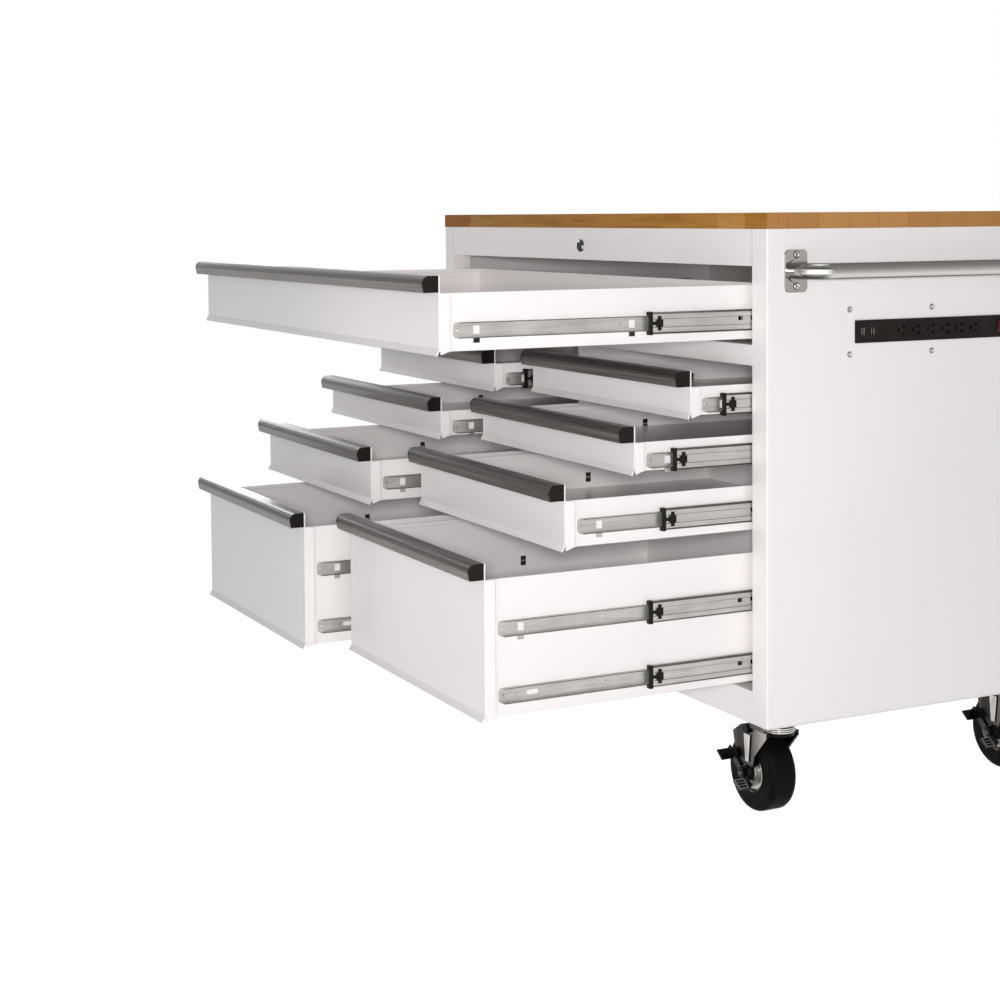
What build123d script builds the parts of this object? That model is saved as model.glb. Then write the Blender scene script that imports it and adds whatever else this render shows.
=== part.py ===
from build123d import *
import os
from math import cos, radians, sin
from typing import NamedTuple

# A mobile tool workbench: a folded sheet-steel cabinet on casters under a wooden top,
# with one wide drawer over two columns of drawers, all on telescopic ball-bearing slides.
# Millimetres. X runs right along the front, Y from the front to the back, Z up.
# The origin is on the floor, under the middle of the cabinet.
# The drawers stand open by the amounts given below.

# Cabinet shell
cabinet_width = 1168.4
cabinet_depth = 622.0
sheet = 1.2                     # folded sheet of the shell
base_sheet = 2.0                # floor plate that the casters bolt to
post_width = 40.0               # front posts, seen from the front
front_post_depth = 40.0
rear_post_depth = 80.0
corner_bend = 2.5               # outer radius of the upright corners
divider_width = 23.0
base_rail_height = 51.0
mid_rail_height = 32.2
fascia_height = 57.2
rail_depth = 30.0               # folded flanges of the rails
worktop_thickness = 25.0
worktop_round = 1.5

# Drawer fronts
top_front = 113.7
shallow_front = 73.5
medium_front = 99.2
deep_front = 232.0
front_gap = 5.6                 # from one front to the next
base_gap = 8.0                  # from the base rail to the lowest front
rail_gap = 3.8                  # from a front to the rail above or below it
side_gap = 7.0                  # from a front to the post beside it
front_thickness = 2.4
front_return = 18.0             # depth of the flange folded back along each upright edge
lip_height = 10.0
lip_flare = 5.0                 # how far the lower lip leans out

# Drawer trays
tray_sheet = 1.0
tray_depth = 580.0              # from the front's outer face to the back
tray_rise = 5.0                 # tray floor above the bottom of the front
side_drop = 25.0                # tray sides below the top of the front
hem_height = 7.0
hem_thickness = 2.4

# How far each drawer stands open, from the top down
opened_top = 526.0
opened_left = (166.0, 271.0, 404.0, 527.0)
opened_right = (108.0, 207.0, 326.0, 458.0)

# Handles
handle_depth = 25.0
handle_height = 24.0
handle_flat = 16.0              # flat top of the grip
handle_nose = 12.0              # nose below the top
handle_undercut = 2.5           # the grip's lower edge behind its nose
handle_bulge_out = 0.72         # fullest point of the grip's curve, as a share of its width
handle_bulge_down = 0.34        # and of its drop to the nose
handle_wall = 2.5
cap_thickness = 3.0

# Telescopic slides
slide_space = 12.7              # between the cabinet wall and the tray
slide_length = 550.0
slide_start = 24.6              # from the front's outer face to the runner's end
slide_sheet = 1.2
outer_height = 45.0
outer_reach = 10.4              # flanges, from the cabinet wall
outer_start = 22.0              # from the cabinet's front
carriage_height = 33.0
carriage_standoff = 2.6         # carriage web from the cabinet wall
carriage_reach = 10.4
carriage_band = 12.0            # recessed band along the middle of the web
carriage_recess = 0.7
carriage_slope = 3.0            # sloped edge between web and flange
carriage_length = 545.0
runner_height = 23.0
runner_reach = 7.8              # flanges, from the tray
runner_round = 6.0
running_gap = 0.3
cage_length = 100.0
cage_thickness = 4.0
cage_start = 12.0               # from the member's end to its ball cage
bumper_length = 6.3
bumper_overlap = 0.9            # bumper proud of the carriage
latch_start = 6.0               # from the bumper to the latch
latch_length = 12.0
latch_height = 22.0
latch_body = 11.0
latch_cross = 6.0               # width of the latch's tall cross piece
latch_arm = 5.0
hook_start = 31.5               # from the runner's end to its hook hole
hook_length = 10.2
hook_height = 12.0
hook_tab = 8.5                  # tab bent down below the runner
slot_start = 45.4               # lower runners of a deep drawer have a slot instead
slot_length = 20.0
slot_height = 7.0
second_hook = 289.0
slide_rise_shallow = 15.0       # slide centre above the tray floor
slide_rise = 30.0
slide_rise_upper = 128.5

# Lock
lock_drop = 32.0                # lock centre below the cabinet's top edge
lock_diameter = 22.0
lock_body = 19.0
lock_length = 24.0
lock_proud = 2.5
plug_diameter = 13.4
plug_proud = 0.8
key_slot_width = 2.0
key_slot_height = 9.0
key_slot_depth = 6.0
fit_gap = 0.15                  # between pieces pressed into a hole

# Push bar on the right side
bar_diameter = 25.4
bar_standoff = 50.0             # bar centre from the side panel
bar_bend = 32.0
bar_straight = 6.0              # least straight run from a flange to its bend
bar_end_inset = 51.4            # bar ends from the front and the back
bar_drop = 64.5                 # bar centre below the cabinet's top edge
flange_width = 40.0
flange_height = 66.0
flange_thickness = 4.0
flange_round = 9.0
collar_diameter = 36.0          # weld collar round each end of the bar
collar_length = 3.0

# Power strip in the right side
strip_length = 303.0
strip_height = 35.6
strip_start = 164.6             # from the cabinet's front
strip_drop = 161.7              # strip centre below the cabinet's top edge
strip_proud = 2.5
strip_depth = 32.0
outlet_count = 6
outlet_first = 89.5             # from the strip's end
outlet_pitch = 29.1
outlet_size = 24.0
outlet_recess = 0.8
usb_count = 2
usb_first = 13.8
usb_pitch = 19.0
usb_width = 6.0
usb_height = 13.5
usb_recess = 5.0
switch_inset = 12.0             # switch centre from the strip's other end
switch_width = 14.0
switch_height = 20.0
switch_ridge = 7.0
switch_edge = 5.0
switch_root = 4.0
switch_taper = 3.0              # root narrower than the rocker's face, at each end
switch_tilt = 8.0               # degrees
switch_sink = 2.0               # pivot behind the panel
switch_room = 1.0               # room past each end of the rocker as it tips
switch_floor = 2.0              # room under its root

# Casters
caster_height = 158.8
caster_inset_x = 55.0
caster_inset_y = 60.0
caster_trail = 45.0
plate_length = 90.0
plate_width = 80.0
plate_thickness = 5.0
plate_bolt_spacing_x = 62.0
plate_bolt_spacing_y = 74.0
plate_bolt_radius = 4.5
race_height = 6.0
race_radius = 24.0
kingpin_radius = 7.0
kingpin_head = 3.0
kingpin_head_radius = 11.0
wheel_diameter = 127.0
wheel_width = 48.0
wheel_round = 10.0
tyre_depth = 30.0
hub_radius = 17.0
disc_width = 34.0
axle_radius = 6.0
nut_radius = 9.0                # to its corners
nut_height = 7.0
fork_thickness = 4.0
fork_clearance = 3.0            # between the wheel and a fork leg
fork_end = 14.0                 # rounded end round the axle
crown_clearance = 5.0           # between the wheel and the crown
crown_thickness = 5.0
crown_reach = 10.0              # crown past the swivel axis
crown_skirt = 8.0               # fork sides hanging below the crown's free end
crown_back = 16.0               # crown behind the axle
shoulder_back = 39.0            # corner of the fork sides, behind and above the axle
shoulder_up = 58.0
waist_back = 34.0               # fork sides narrow below it
waist_up = 38.0
neck_reach = 22.0               # and in front of the axle
neck_up = 30.0
rib_height = 2.0                # rib pressed out of each fork side, narrowing downwards
rib_middle = 4.0                # rib in front of the axle
rib_top = 62.0                  # rib's ends above the axle
rib_bottom = 18.0
rib_top_width = 18.0
rib_bottom_width = 9.0
boss_radius = 7.5               # boss at the top of the rib
boss_height = 6.0
boss_up = 71.0
lever_angle = 38.0              # slope of the brake lever, in degrees
lever_thickness = 3.0
lever_back = 55.0               # lever's ends behind and in front of the axle
lever_front = 24.0
lever_low = 12.5                # lever's lower edge below the axle
lever_width = 11.0
lever_hub = 10.5                # ring of the lever round the axle
pad_length = 19.0               # foot pad bent outwards at each end
pad_depth = 20.0

# Levels and planes that follow from the sizes above
half_width = cabinet_width / 2
front_y = -cabinet_depth / 2
back_y = cabinet_depth / 2
opening_half = half_width - post_width
divider_half = divider_width / 2
floor_z = caster_height + base_sheet
base_rail_top = caster_height + base_rail_height
deep_z = base_rail_top + base_gap
medium_z = deep_z + deep_front + front_gap
second_z = medium_z + medium_front + front_gap
first_z = second_z + shallow_front + front_gap
mid_rail_z = first_z + shallow_front + rail_gap
top_z = mid_rail_z + mid_rail_height + rail_gap
fascia_z = top_z + top_front + rail_gap
cabinet_top = fascia_z + fascia_height
worktop_top = cabinet_top + worktop_thickness
lock_z = cabinet_top - lock_drop
bar_z = cabinet_top - bar_drop
strip_z = cabinet_top - strip_drop
strip_y = front_y + strip_start
switch_y = strip_y + strip_length - switch_inset
switch_x = half_width - switch_sink
axle_z = wheel_diameter / 2
crown_z = wheel_diameter + crown_clearance
caster_x = half_width - caster_inset_x
caster_y = cabinet_depth / 2 - caster_inset_y


class Drawer(NamedTuple):
    """One drawer: its opening in the cabinet, its front and where its slides sit."""
    name: str
    left: float           # cabinet walls that carry its slides
    right: float
    bottom: float         # lower edge of the front
    height: float
    opened: float
    share: float          # carriage travel over drawer travel
    rises: tuple          # slide centres above the tray floor
    hooks: tuple          # hook holes along the runner

    @property
    def front(self):
        return front_y - self.opened

    @property
    def top(self):
        return self.bottom + self.height

    @property
    def tray_floor(self):
        return self.bottom + tray_rise

    @property
    def side_top(self):
        return self.top - side_drop

    @property
    def tray_left(self):
        return self.left + slide_space

    @property
    def tray_right(self):
        return self.right - slide_space

    @property
    def carriage_front(self):
        return front_y + slide_start - self.opened * self.share


def column(side, left, right, opened, shares):
    """The four drawers of one column, from the top down."""
    rows = (
        (first_z, shallow_front, (slide_rise_shallow,)),
        (second_z, shallow_front, (slide_rise_shallow,)),
        (medium_z, medium_front, (slide_rise,)),
        (deep_z, deep_front, (slide_rise, slide_rise_upper)),
    )
    return [
        Drawer(f"drawer_{side}_{i + 1}", left, right, z, height, opened[i], shares[i], rises, (hook_start,))
        for i, (z, height, rises) in enumerate(rows)
    ]


# Each carriage follows its drawer by a fixed share of the travel
share_top = 0.394
shares_left = (0.80, 0.45, 0.45, 0.45)
shares_right = (0.71, 0.80, 0.568, 0.4555)
top_drawer = Drawer(
    "drawer_top", -opening_half, opening_half, top_z, top_front, opened_top, share_top,
    (slide_rise,), (hook_start, second_hook),
)
drawers = [top_drawer]
drawers += column("left", -opening_half, -divider_half, opened_left, shares_left)
drawers += column("right", divider_half, opening_half, opened_right, shares_right)


def block(x0, x1, y0, y1, z0, z1):
    """Box between two corners, given in either order."""
    middle = Pos((x0 + x1) / 2, (y0 + y1) / 2, (z0 + z1) / 2)
    return middle * Box(abs(x1 - x0), abs(y1 - y0), abs(z1 - z0))


def outline(points):
    return make_face(Polyline(*points, close=True))


def along_x(face, x0, x1):
    """A face drawn in (y, z), drawn out along X."""
    return extrude(Plane.YZ.offset(x0) * face, x1 - x0, dir=(1, 0, 0))


def along_y(face, y0, y1):
    """A face drawn in (x, z), drawn out along Y."""
    return extrude(Plane.XZ.offset(-y0) * face, y1 - y0, dir=(0, 1, 0))


def along_z(face, z0, z1):
    return extrude(Pos(0, 0, z0) * face, z1 - z0, dir=(0, 0, 1))


def rod(start, direction, length, radius):
    """Round bar from a start point."""
    return extrude(Plane(start, z_dir=direction) * Circle(radius), length)


def folded(points, thickness):
    """Outline of a bent sheet: points follow one face, the sheet lies to their left (right if negative)."""
    corners = [Vector(*p) for p in points]
    runs = [(b - a).normalized() for a, b in zip(corners, corners[1:])]
    normals = [Vector(-run.Y, run.X) * thickness for run in runs]
    inner = [corners[0] + normals[0]]
    for corner, before, after in zip(corners[1:-1], normals, normals[1:]):
        middle = before + after
        inner.append(corner + middle * (2 * thickness ** 2 / middle.dot(middle)))
    inner.append(corners[-1] + normals[-1])
    return outline([(p.X, p.Y) for p in corners + inner[::-1]])


def joined(pieces):
    """Pieces fused into one solid."""
    first, *rest = pieces
    return first.fuse(*rest)


# Cabinet shell


def side_panel(side):
    """One side, folded round into its front and rear posts."""
    inner, outer = side * opening_half, side * half_width
    path = [
        (inner, front_y + front_post_depth),
        (inner, front_y),
        (outer, front_y),
        (outer, back_y),
        (inner, back_y),
        (inner, back_y - rear_post_depth),
    ]
    panel = along_z(folded(path, side * sheet), floor_z, cabinet_top)
    upright = panel.edges().filter_by(Axis.Z)
    return fillet(upright.filter_by(lambda edge: abs(edge.center().X - outer) < sheet / 2), corner_bend)


def strip_opening():
    return block(
        half_width - 2 * sheet, half_width + sheet,
        strip_y - fit_gap, strip_y + strip_length + fit_gap,
        strip_z - strip_height / 2 - fit_gap, strip_z + strip_height / 2 + fit_gap,
    )


def channel(z0, z1):
    """Rail across the front, with flanges folded back at its top and bottom."""
    path = [(front_y + rail_depth, z0), (front_y, z0), (front_y, z1), (front_y + rail_depth, z1)]
    return along_x(folded(path, -sheet), -opening_half, opening_half)


def front_fascia():
    """Top rail, with the lock's hole."""
    return channel(fascia_z, cabinet_top) - rod(lock_point(), (0, 1, 0), lock_length, lock_body / 2)


def floor_panel():
    """Floor plate under the whole cabinet, with the base rail folded up along its front."""
    plate = block(-half_width, half_width, front_y, back_y, caster_height, floor_z)
    path = [(front_y, floor_z), (front_y, base_rail_top), (front_y + rail_depth, base_rail_top)]
    return plate + along_x(folded(path, -sheet), -opening_half, opening_half)


def center_divider():
    path = [
        (-divider_half, back_y - sheet), (-divider_half, front_y),
        (divider_half, front_y), (divider_half, back_y - sheet),
    ]
    return along_z(folded(path, sheet), base_rail_top, mid_rail_z)


def back_panel():
    return block(-opening_half, opening_half, back_y - sheet, back_y, floor_z, cabinet_top)


def worktop():
    slab = block(-half_width, half_width, front_y, back_y, cabinet_top, worktop_top)
    return fillet(slab.edges().filter_by(Axis.Z, reverse=True).group_by(Axis.Z)[-1], worktop_round)


def lock_point():
    return (0, front_y - lock_proud, lock_z)


def lock_barrel():
    collar = rod(lock_point(), (0, 1, 0), lock_proud, lock_diameter / 2)
    body = rod((0, front_y, lock_z), (0, 1, 0), lock_length, lock_body / 2 - fit_gap)
    bore = rod(lock_point(), (0, 1, 0), lock_length, plug_diameter / 2 + running_gap)
    return collar + body - bore


def lock_plug():
    start = (0, front_y - lock_proud - plug_proud, lock_z)
    plug = rod(start, (0, 1, 0), lock_length + plug_proud - running_gap, plug_diameter / 2)
    slot = block(
        -key_slot_width / 2, key_slot_width / 2, start[1], start[1] + key_slot_depth,
        lock_z - key_slot_height / 2, lock_z + key_slot_height / 2,
    )
    return plug - slot


# Drawers


def drawer_box(drawer):
    """Folded tray with its front: a flared lip below and a curved flange along each upright edge."""
    face, inner = drawer.front, drawer.front + front_thickness
    left, right = drawer.left + side_gap, drawer.right - side_gap
    front_path = [
        (face, drawer.top), (face, drawer.bottom + lip_height), (face - lip_flare, drawer.bottom),
    ]
    foot, heel = (inner, drawer.bottom + sheet), (face + front_return, drawer.tray_floor)
    halfway = (foot[0] + heel[0]) / 2
    upright = Polyline(heel, (heel[0], drawer.side_top), (inner, drawer.side_top), foot)
    flange = make_face([*upright.edges(), Bezier(foot, (halfway, foot[1]), (halfway, heel[1]), heel)])
    tray_path = [
        (drawer.tray_left, drawer.side_top), (drawer.tray_left, drawer.tray_floor),
        (drawer.tray_right, drawer.tray_floor), (drawer.tray_right, drawer.side_top),
    ]
    end = face + tray_depth
    hem_bottom = drawer.side_top - hem_height

    def hem(x0, x1):
        return block(x0, x1, inner, end, hem_bottom, drawer.side_top)

    back = outline(tray_path)
    return joined([
        along_x(folded(front_path, front_thickness), left, right),
        along_x(flange, left, left + tray_sheet),
        along_x(flange, right - tray_sheet, right),
        along_y(folded(tray_path, tray_sheet), inner, end),
        along_y(back, end - tray_sheet, end),
        hem(drawer.tray_left, drawer.tray_left + hem_thickness),
        hem(drawer.tray_right - hem_thickness, drawer.tray_right),
    ])


def handle_face(drawer, hollow):
    """Section of the grip: flat top, rounded front and, where hollow, a finger channel open below."""
    back, top = drawer.front, drawer.top
    nose = (back - handle_depth, top - handle_nose)
    lower = (back - handle_depth + handle_undercut, top - handle_height)
    edge = (back - handle_flat, top)
    bulge = (back - handle_flat - handle_bulge_out * (handle_depth - handle_flat),
             top - handle_bulge_down * handle_nose)
    if hollow:
        rest = [
            (lower[0] + handle_wall, lower[1]),
            (nose[0] + handle_wall, nose[1] - handle_wall / 2),
            (edge[0] - handle_wall / 2, top - handle_wall),
            (back - handle_wall, top - handle_wall),
            (back - handle_wall, lower[1]),
        ]
    else:
        rest = []
    path = [nose, lower, *rest, (back, lower[1]), (back, top), edge]
    return make_face([ThreePointArc(edge, bulge, nose), *Polyline(*path).edges()])


def drawer_handle(drawer):
    """Grip along the whole front, closed by a cap at each end."""
    left, right = drawer.left + side_gap, drawer.right - side_gap
    cap = handle_face(drawer, hollow=False)
    return [
        along_x(handle_face(drawer, hollow=True), left + cap_thickness, right - cap_thickness),
        along_x(cap, left, left + cap_thickness),
        along_x(cap, right - cap_thickness, right),
    ]


def slides(drawer):
    """Cabinet wall, direction towards the drawer and height of each of the drawer's slides."""
    return [
        (wall, inward, drawer.tray_floor + rise)
        for rise in drawer.rises
        for wall, inward in ((drawer.left, 1), (drawer.right, -1))
    ]


def outer_member(wall, inward, z):
    """Fixed channel on the cabinet wall."""
    reach, half = wall + inward * outer_reach, outer_height / 2
    path = [(reach, z + half), (wall, z + half), (wall, z - half), (reach, z - half)]
    start = front_y + outer_start
    return along_y(folded(path, inward * slide_sheet), start, start + slide_length)


def carriage(drawer, wall, inward, z):
    """Middle member between the fixed channel and the runner, with its ball cages."""
    def across(offset):
        return wall + inward * offset

    half, band = carriage_height / 2, carriage_band / 2
    web = carriage_standoff
    upper = [
        (across(carriage_reach), half), (across(web + carriage_slope), half),
        (across(web), half - carriage_slope), (across(web), band + carriage_recess),
        (across(web + carriage_recess), band),
    ]
    path = [(x, z + dz) for x, dz in upper] + [(x, z - dz) for x, dz in reversed(upper)]
    start = drawer.carriage_front + bumper_length
    end = drawer.carriage_front + carriage_length
    pieces = [along_y(folded(path, inward * slide_sheet), start, end)]
    cage_near = across(carriage_reach - cage_thickness)
    cage_far = across(carriage_reach)
    for up in (1, -1):
        inner_cage = (z + up * (half - slide_sheet), z + up * (runner_height / 2 + running_gap))
        outer_cage = (z + up * half, z + up * (outer_height / 2 - slide_sheet - running_gap))
        front_end, rear_end = start + cage_start, end - cage_start
        pieces.append(block(cage_near, cage_far, front_end, front_end + cage_length, *inner_cage))
        pieces.append(block(cage_near, cage_far, rear_end - cage_length, rear_end, *outer_cage))
    return joined(pieces)


def bumper(drawer, wall, inward, z):
    """Plastic end stop round the runner's way through, with the release latch behind it."""
    start = drawer.carriage_front
    end = start + bumper_length
    half = carriage_height / 2 + bumper_overlap
    near = wall + inward * (carriage_standoff - bumper_overlap)
    far = wall + inward * carriage_reach
    web = wall + inward * carriage_standoff
    way = runner_height / 2 + running_gap
    way_near = wall + inward * (slide_space - runner_reach - running_gap)
    frame = block(near, far, start, end, z - half, z + half)
    frame -= block(way_near, far, start, end, z - way, z + way)
    latch = end + latch_start
    latch_end = latch + latch_length
    middle = (latch + latch_end) / 2

    def bar(y0, y1, height):
        return block(near, web, y0, y1, z - height / 2, z + height / 2)

    return joined([
        frame,
        bar(end, latch_end, latch_arm),
        bar(middle - latch_cross / 2, middle + latch_cross / 2, latch_height),
        bar(latch, latch_end, latch_body),
    ])


def runner(drawer, wall, inward, z):
    """Inner member on the tray, with rounded ends and the hooks that hold it there."""
    tray = wall + inward * slide_space
    web = tray - inward * slide_sheet
    start = drawer.front + slide_start
    end = start + slide_length
    half = runner_height / 2
    plate = Pos((start + end) / 2, z) * RectangleRounded(slide_length, runner_height, runner_round)
    if z < drawer.tray_floor + drawer.rises[-1]:
        plate -= Pos(start + slot_start + slot_length / 2, z) * SlotOverall(slot_length, slot_height)
    else:
        for hook in drawer.hooks:
            middle = start + hook + hook_length / 2
            plate -= Pos(middle, z) * Rectangle(hook_length, hook_height)
            plate += Pos(middle, z - half - hook_tab / 2 + slide_sheet) * Rectangle(hook_length, hook_tab)
    pieces = [along_x(plate, min(tray, web), max(tray, web))]
    for up in (1, -1):
        lips = (z + up * half, z + up * (half - slide_sheet))
        reach = tray - inward * runner_reach
        pieces.append(block(tray, reach, start + runner_round, end - runner_round, *lips))
    return joined(pieces)


# Push bar and power strip


def push_bar():
    """Bent tube with a flange plate at each end."""
    end_y = cabinet_depth / 2 - bar_end_inset
    wall, out = half_width + flange_thickness, half_width + bar_standoff
    bend = min(bar_bend, out - wall - bar_straight)
    corners = [(wall, -end_y, bar_z), (out, -end_y, bar_z), (out, end_y, bar_z), (wall, end_y, bar_z)]
    path = FilletPolyline(*corners, radius=bend)
    tube = sweep(Plane((wall, -end_y, bar_z), z_dir=(1, 0, 0)) * Circle(bar_diameter / 2), path)
    plate = RectangleRounded(flange_width, flange_height, flange_round)
    ends = []
    for y in (-end_y, end_y):
        ends.append(along_x(Pos(y, bar_z) * plate, half_width, wall))
        ends.append(rod((wall, y, bar_z), (1, 0, 0), collar_length, collar_diameter / 2))
    return joined([tube, *ends])


def switch_pocket():
    """Room for the rocker to tip both ways."""
    half_y, half_z = switch_width / 2 + running_gap, switch_height / 2 + switch_room + running_gap
    return block(
        switch_x - switch_root - switch_floor, half_width + strip_proud,
        switch_y - half_y, switch_y + half_y, strip_z - half_z, strip_z + half_z,
    )


def power_strip():
    """Moulded housing set into the side panel, with shallow outlet faces and two charging ports."""
    half = strip_height / 2
    face = half_width + strip_proud
    end = strip_y + strip_length
    body = block(half_width - strip_depth, face, strip_y, end, strip_z - half, strip_z + half)
    outlets = [
        block(face - outlet_recess, face, y - outlet_size / 2, y + outlet_size / 2,
              strip_z - outlet_size / 2, strip_z + outlet_size / 2)
        for y in (strip_y + outlet_first + i * outlet_pitch for i in range(outlet_count))
    ]
    ports = [
        block(face - usb_recess, face, y - usb_width / 2, y + usb_width / 2,
              strip_z - usb_height / 2, strip_z + usb_height / 2)
        for y in (strip_y + usb_first + i * usb_pitch for i in range(usb_count))
    ]
    return body.cut(*outlets, *ports, switch_pocket())


def power_switch():
    """Rocker, tipped to one side."""
    half = switch_height / 2
    root = half - switch_taper
    roof = [(-switch_root, -root), (switch_edge, -half), (switch_ridge, 0), (switch_edge, half),
            (-switch_root, root)]
    turn = radians(switch_tilt)
    tipped = [
        (switch_x + x * cos(turn) + z * sin(turn), strip_z - x * sin(turn) + z * cos(turn)) for x, z in roof
    ]
    return along_y(outline(tipped), switch_y - switch_width / 2, switch_y + switch_width / 2)


# Casters


def wheel(x, y):
    """Tyre, disc and hub turned about the axle."""
    rim, half, disc = wheel_diameter / 2, wheel_width / 2, disc_width / 2
    hub = half + fork_clearance - running_gap
    tyre = rim - tyre_depth
    upper = [
        (axle_radius + running_gap, hub), (hub_radius, hub), (hub_radius + fork_clearance, disc),
        (tyre - fork_clearance, disc), (tyre, half),
    ]
    side = [*upper, (rim - wheel_round, half)]
    arc = ThreePointArc(
        (rim - wheel_round, half),
        (rim - wheel_round * (1 - sin(radians(45))), half - wheel_round * (1 - cos(radians(45)))),
        (rim, half - wheel_round),
    )
    edges = [*Polyline(*side).edges(), arc]
    lower = [mirror(edge, about=Plane.XZ) for edge in edges]
    closing = [
        Line((rim, half - wheel_round), (rim, wheel_round - half)),
        Line((axle_radius + running_gap, hub), (axle_radius + running_gap, -hub)),
    ]
    section = make_face([*edges, *lower, *closing])
    return Pos(x, y, axle_z) * revolve(section, Axis.Y)


def axle(x, y, spare=0.0):
    """Bolt through the fork and wheel, with a hexagon at each end and spare length for a brake lever."""
    reach = wheel_width / 2 + fork_clearance + fork_thickness
    hexagon = Pos(x, axle_z) * RegularPolygon(nut_radius, 6)
    head = y - reach - spare
    return joined([
        rod((x, head, axle_z), (0, 1, 0), 2 * reach + spare, axle_radius),
        along_y(hexagon, head - nut_height, head),
        along_y(hexagon, y + reach, y + reach + nut_height),
    ])


def legs(shape, x, y):
    """A fork leg's outline on both sides of the wheel, with the axle's hole through its rounded end."""
    face = Pos(x, axle_z) * (shape + Circle(fork_end) - Circle(axle_radius + fit_gap))
    near = wheel_width / 2 + fork_clearance
    far = near + fork_thickness
    return [along_y(face, y + near, y + far), along_y(face, y - far, y - near)]


def bolt_plate(x, y, z0, z1):
    """Mounting plate with four bolt holes."""
    plate = along_z(Pos(x, y) * Rectangle(plate_width, plate_length), z0, z1)
    holes = [
        rod((x + i * plate_bolt_spacing_x / 2, y + j * plate_bolt_spacing_y / 2, z0), (0, 0, 1), z1 - z0,
            plate_bolt_radius)
        for i in (1, -1) for j in (1, -1)
    ]
    return plate.cut(*holes)


def swivel_plate(x, y):
    """Top plate with its bearing race and the kingpin that the fork turns on."""
    top = caster_height - plate_thickness
    pin_end = crown_z - running_gap - kingpin_head
    return joined([
        bolt_plate(x, y, top, caster_height),
        rod((x, y, top - race_height), (0, 0, 1), race_height, race_radius),
        rod((x, y, pin_end), (0, 0, 1), top - pin_end, kingpin_radius),
        rod((x, y, pin_end), (0, 0, 1), kingpin_head, kingpin_head_radius),
    ])


def swivel_fork(x, y):
    """Fork that trails its wheel towards -X, each side pressed out into a rib with a boss on top."""
    wheel_x = x - caster_trail
    top = crown_z + crown_thickness - axle_z
    free_end = caster_trail + crown_reach
    shape = outline([
        (-fork_end, 0), (-waist_back, waist_up), (-shoulder_back, shoulder_up), (-crown_back, top),
        (free_end, top), (free_end, top - crown_skirt), (neck_reach, neck_up), (fork_end, 0),
    ])
    rib = Pos(wheel_x, axle_z) * outline([
        (rib_middle - rib_top_width / 2, rib_top), (rib_middle - rib_bottom_width / 2, rib_bottom),
        (rib_middle + rib_bottom_width / 2, rib_bottom), (rib_middle + rib_top_width / 2, rib_top),
    ])
    boss = Pos(wheel_x + rib_middle, axle_z + boss_up) * Circle(boss_radius)
    reach = wheel_width / 2 + fork_clearance + fork_thickness
    pressings = []
    for face, height in ((rib, rib_height), (boss, boss_height)):
        pressings.append(along_y(face, y - reach - height, y - reach))
        pressings.append(along_y(face, y + reach, y + reach + height))
    race_low = caster_height - plate_thickness - race_height - running_gap
    crown_top = crown_z + crown_thickness
    crown = block(wheel_x - crown_back, x + crown_reach, y - reach, y + reach, crown_z, crown_top)
    race = rod((x, y, crown_z), (0, 0, 1), race_low - crown_z, race_radius)
    bore = rod((x, y, crown_z), (0, 0, 1), race_low - crown_z, kingpin_radius + running_gap)
    fork = joined([crown, race, *legs(shape, wheel_x, y), *pressings]) - bore
    return [fork, axle(wheel_x, y, lever_thickness + 2 * running_gap)]


def brake_lever(x, y):
    """Rocking lever on the end of the axle, with a foot pad bent outwards at each end."""
    inner = y - wheel_width / 2 - fork_clearance - fork_thickness - running_gap
    outer = inner - lever_thickness
    low, high = -lever_low, lever_width - lever_low
    arm = outline([(-lever_back, low), (lever_front, low), (lever_front, high), (-lever_back, high)])
    pads = [
        outline([(start, low), (end, low), (end, low + lever_thickness), (start, low + lever_thickness)])
        for start, end in ((-lever_back, pad_length - lever_back), (lever_front - pad_length, lever_front))
    ]
    place = Pos(x - caster_trail, axle_z) * Rot(0, 0, -lever_angle)
    plate = arm + Circle(lever_hub) - Circle(axle_radius + running_gap)
    return joined([
        along_y(place * plate, outer, inner),
        *[along_y(place * pad, outer - pad_depth, outer) for pad in pads],
    ])


def rigid_fork(x, y):
    """Fixed fork straight over its wheel."""
    top = caster_height - plate_thickness
    shoulder, rise = plate_width / 2 - fork_end, top - axle_z
    shape = outline([(-fork_end, 0), (-shoulder, rise), (shoulder, rise), (fork_end, 0)])
    fork = joined([bolt_plate(x, y, top, caster_height), *legs(shape, x, y)])
    return [fork, axle(x, y)]


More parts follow.
